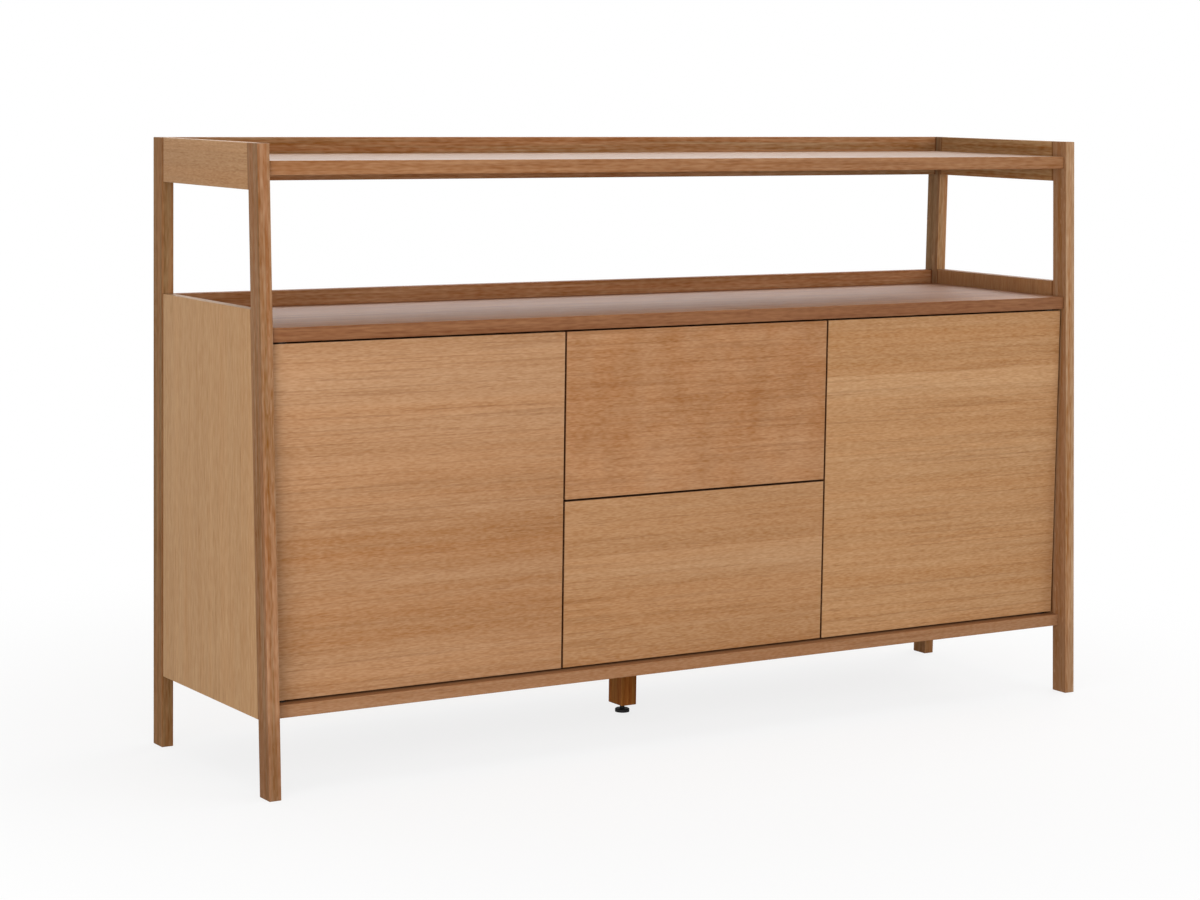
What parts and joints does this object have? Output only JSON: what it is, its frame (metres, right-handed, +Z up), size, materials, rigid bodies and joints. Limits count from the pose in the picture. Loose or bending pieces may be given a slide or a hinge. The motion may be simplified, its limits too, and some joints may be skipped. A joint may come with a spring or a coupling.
{
  "type": "sideboard",
  "caption": "Oak sideboard with raked posts, handleless push-to-open doors and drawers, and an open shelf carried above the cabinet top.",
  "frame": {"origin": "on the floor, midway between the four post feet", "axes": "+X to the right as seen from the front, along the width; +Y to the rear; +Z up"},
  "size_m": [1.6, 0.431, 0.985],
  "materials": {
    "oak_front": "satin lacquered oak veneer, fine horizontal grain on the fronts",
    "oak_frame": "satin lacquered solid oak, grain along each piece",
    "oak_inside": "matt lacquered oak veneer",
    "drawer_wood": "pale lacquered hardwood",
    "steel": "zinc plated",
    "black_plastic": "moulded",
    "grey_plastic": "moulded"
  },
  "bodies": {
    "carcass": {"front_left_post": "oak_frame", "front_right_post": "oak_frame", "rear_left_post": "oak_frame", "rear_right_post": "oak_frame", "left_end_panel": "oak_front", "right_end_panel": "oak_front", "left_top_rail": "oak_frame", "right_top_rail": "oak_frame", "upper_back_rail": "oak_frame", "lower_back_rail": "oak_frame", "upper_shelf": "oak_front", "cabinet_top": "oak_front", "cabinet_bottom": "oak_frame", "back_panel": "oak_inside", "left_partition": "oak_inside", "right_partition": "oak_inside", "centre_leg": "oak_frame", "left_shelf": "oak_inside", "left_shelf_outer_batten": "oak_inside", "left_shelf_inner_batten": "oak_inside", "right_shelf": "oak_inside", "right_shelf_outer_batten": "oak_inside", "right_shelf_inner_batten": "oak_inside", "left_door_top_pivot": "steel", "left_door_bottom_pivot": "steel", "right_door_top_pivot": "steel", "right_door_bottom_pivot": "steel", "left_door_latch_body": "grey_plastic", "right_door_latch_body": "grey_plastic", "upper_drawer_latch_body": "grey_plastic", "lower_drawer_latch_body": "grey_plastic", "upper_drawer_left_runner_fixed": "steel", "upper_drawer_right_runner_fixed": "steel", "lower_drawer_left_runner_fixed": "steel", "lower_drawer_right_runner_fixed": "steel"},
    "left_door_leaf": {"left_door": "oak_front"},
    "right_door_leaf": {"right_door": "oak_front"},
    "upper_drawer": {"upper_drawer_front": "oak_front", "upper_drawer_left_side": "drawer_wood", "upper_drawer_right_side": "drawer_wood", "upper_drawer_back": "drawer_wood", "upper_drawer_bottom": "drawer_wood", "upper_drawer_left_runner_moving": "steel", "upper_drawer_right_runner_moving": "steel"},
    "lower_drawer": {"lower_drawer_front": "oak_front", "lower_drawer_left_side": "drawer_wood", "lower_drawer_right_side": "drawer_wood", "lower_drawer_back": "drawer_wood", "lower_drawer_bottom": "drawer_wood", "lower_drawer_left_runner_moving": "steel", "lower_drawer_right_runner_moving": "steel"},
    "screw_foot": {"levelling_foot": "black_plastic"},
    "left_door_plunger": {"left_door_latch_plunger": "grey_plastic"},
    "right_door_plunger": {"right_door_latch_plunger": "grey_plastic"},
    "upper_drawer_plunger": {"upper_drawer_latch_plunger": "grey_plastic"},
    "lower_drawer_plunger": {"lower_drawer_latch_plunger": "grey_plastic"}
  },
  "joints": [
    {"name": "left_door_hinge", "type": "hinge", "parent": "carcass", "child": "left_door_leaf", "pos_m": [-0.75737, -0.16385, 0.1425], "axis": [0, 0, -1], "range_deg": [0, 95]},
    {"name": "right_door_hinge", "type": "hinge", "parent": "carcass", "child": "right_door_leaf", "pos_m": [0.75737, -0.16385, 0.1425], "axis": [0, 0, 1], "range_deg": [0, 95]},
    {"name": "upper_drawer_slide", "type": "slide", "parent": "carcass", "child": "upper_drawer", "axis": [0, -1, 0], "range_m": [0, 0.22]},
    {"name": "lower_drawer_slide", "type": "slide", "parent": "carcass", "child": "lower_drawer", "axis": [0, -1, 0], "range_m": [0, 0.22]},
    {"name": "levelling_foot_turn", "type": "hinge", "parent": "carcass", "child": "screw_foot", "pos_m": [0, 0.044, 0], "axis": [0, 0, 1], "continuous": true},
    {"name": "left_door_latch_press", "type": "slide", "parent": "carcass", "child": "left_door_plunger", "axis": [0, 1, 0], "range_m": [0, 0.004], "stiffness_N_per_m": 200, "springref_m": -0.003},
    {"name": "right_door_latch_press", "type": "slide", "parent": "carcass", "child": "right_door_plunger", "axis": [0, 1, 0], "range_m": [0, 0.004], "stiffness_N_per_m": 200, "springref_m": -0.003},
    {"name": "upper_drawer_latch_press", "type": "slide", "parent": "carcass", "child": "upper_drawer_plunger", "axis": [0, 1, 0], "range_m": [0, 0.004], "stiffness_N_per_m": 200, "springref_m": -0.003},
    {"name": "lower_drawer_latch_press", "type": "slide", "parent": "carcass", "child": "lower_drawer_plunger", "axis": [0, 1, 0], "range_m": [0, 0.004], "stiffness_N_per_m": 200, "springref_m": -0.003}
  ]
}
